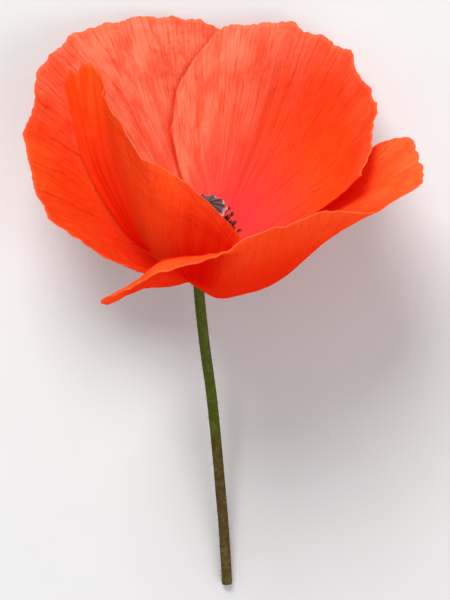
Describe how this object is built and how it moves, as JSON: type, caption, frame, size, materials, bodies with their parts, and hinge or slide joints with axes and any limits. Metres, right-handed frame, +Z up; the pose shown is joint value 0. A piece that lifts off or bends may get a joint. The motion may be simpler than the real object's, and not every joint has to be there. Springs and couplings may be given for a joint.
{
  "type": "corn poppy flower",
  "caption": "Corn poppy flower with crumpled overlapping petals, a ribbed ovary under a lobed stigma disc, a ring of stamens and a short cut stem, lying down.",
  "frame": {"origin": "bottom centre of the bounding box, on the surface the flower lies on", "axes": "+Z up from that surface, +Y along the stem from its cut end towards the blossom, +X to the blossom's right seen from above"},
  "size_m": [0.07, 0.1026, 0.0621],
  "materials": {
    "petal": "satin",
    "stem": "matte",
    "ovary": "matte",
    "stigma": "matte",
    "stamen": "matte"
  },
  "bodies": {
    "root": {"petal_outer_back": "petal", "petal_inner_back": "petal", "petal_inner_front": "petal", "petal_outer_front": "petal", "stem": "stem", "ovary": "ovary", "stigma_disc": "stigma", "stamen_01": "stamen", "stamen_02": "stamen", "stamen_03": "stamen", "stamen_04": "stamen", "stamen_05": "stamen", "stamen_06": "stamen", "stamen_07": "stamen", "stamen_08": "stamen", "stamen_09": "stamen", "stamen_10": "stamen", "stamen_11": "stamen", "stamen_12": "stamen", "stamen_13": "stamen", "stamen_14": "stamen", "stamen_15": "stamen", "stamen_16": "stamen", "stamen_17": "stamen", "stamen_18": "stamen", "stamen_19": "stamen", "stamen_20": "stamen", "stamen_21": "stamen", "stamen_22": "stamen", "stamen_23": "stamen", "stamen_24": "stamen", "stamen_25": "stamen", "stamen_26": "stamen", "stamen_27": "stamen", "stamen_28": "stamen", "stamen_29": "stamen", "stamen_30": "stamen", "stamen_31": "stamen", "stamen_32": "stamen", "stamen_33": "stamen", "stamen_34": "stamen", "stamen_35": "stamen", "stamen_36": "stamen", "stamen_37": "stamen", "stamen_38": "stamen", "stamen_39": "stamen", "stamen_40": "stamen", "stamen_41": "stamen", "stamen_42": "stamen"}
  },
  "joints": []
}
